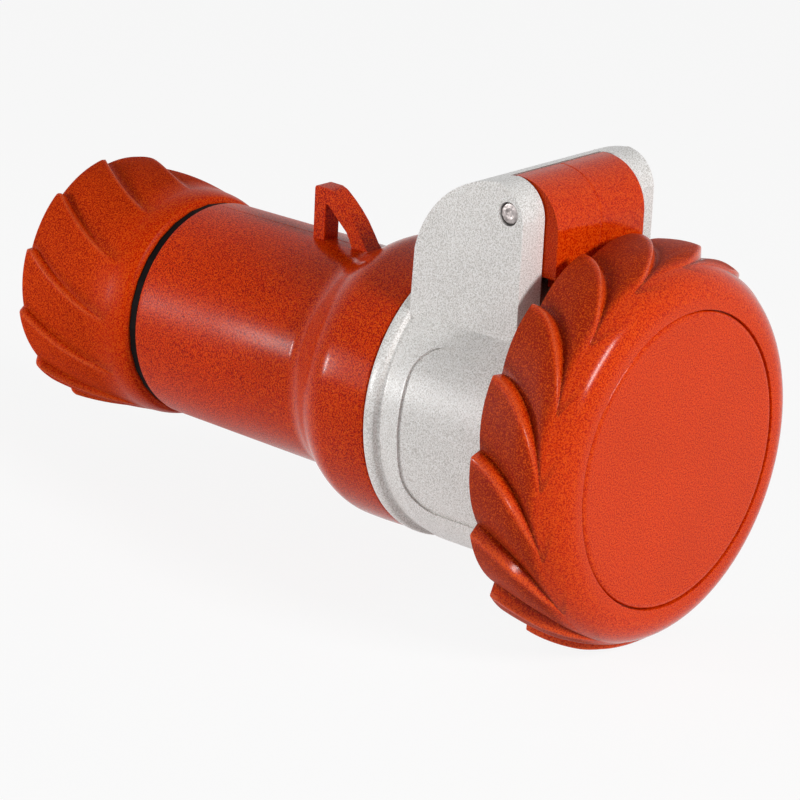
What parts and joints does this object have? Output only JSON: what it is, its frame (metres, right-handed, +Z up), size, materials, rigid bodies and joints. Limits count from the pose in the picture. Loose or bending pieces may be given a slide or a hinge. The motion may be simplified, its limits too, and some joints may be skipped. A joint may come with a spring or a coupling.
{
  "type": "portable industrial socket",
  "caption": "Hand-held industrial socket with a red handle, cable gland, grey barrel, sprung hinged cap and a bayonet ring with leaf-shaped grips.",
  "frame": {"origin": "centre of the flat front face of the closed cap", "axes": "+Y runs along the body from the cap to the cable gland, +Z points up to the lid's hinge, +X to the right for someone who looks at the cap"},
  "size_m": [0.0942, 0.182, 0.1069],
  "materials": {
    "red_plastic": "satin, fine mottled grain",
    "grey_plastic": "satin, fine speckled grain",
    "dark_plastic": "matt",
    "black_rubber": "matt",
    "brass": "turned",
    "steel": "ground"
  },
  "bodies": {
    "housing": {"front_housing": "grey_plastic", "handle": "red_plastic", "hinge_pin": "steel", "torsion_spring": "steel", "flange_seal": "black_rubber", "body_seal": "black_rubber", "contact_face": "dark_plastic", "contact_insert": "dark_plastic", "contact_carrier": "dark_plastic", "insert_retainer": "dark_plastic", "cable_grommet": "black_rubber", "contact_earth": "brass", "contact_l1": "brass", "contact_l2": "brass", "contact_l3": "brass", "contact_neutral": "brass", "terminal_screw_earth": "steel", "terminal_screw_l1": "steel", "terminal_screw_l2": "steel", "terminal_screw_l3": "steel", "terminal_screw_neutral": "steel"},
    "lid": {"lid": "red_plastic", "front_disc": "red_plastic", "lid_gasket": "black_rubber"},
    "ring": {"bayonet_ring": "red_plastic"},
    "clamp": {"slip_washer": "dark_plastic", "clamp_cage": "dark_plastic"},
    "nut": {"gland_nut": "red_plastic"}
  },
  "joints": [
    {"name": "lid_hinge", "type": "hinge", "parent": "housing", "child": "lid", "pos_m": [0, 0.0339, 0.0533], "axis": [-1, 0, 0], "range_deg": [0, 115], "stiffness_Nm_per_rad": 0.03, "springref_deg": -114.59},
    {"name": "ring_turn", "type": "hinge", "parent": "lid", "child": "ring", "pos_m": [0, 0.0025, 0], "axis": [0, 1, 0], "range_deg": [0, 40]},
    {"name": "clamp_slide", "type": "slide", "parent": "housing", "child": "clamp", "axis": [0, 1, 0], "range_m": [0, 0.012]},
    {"name": "nut_turn", "type": "hinge", "parent": "clamp", "child": "nut", "pos_m": [0, 0.1465, 0], "axis": [0, 1, 0], "range_deg": [0, 1440]}
  ],
  "couplings": [
    {"joint": "clamp_slide", "follows": "nut_turn", "m_per_rad": 0.00047746}
  ]
}
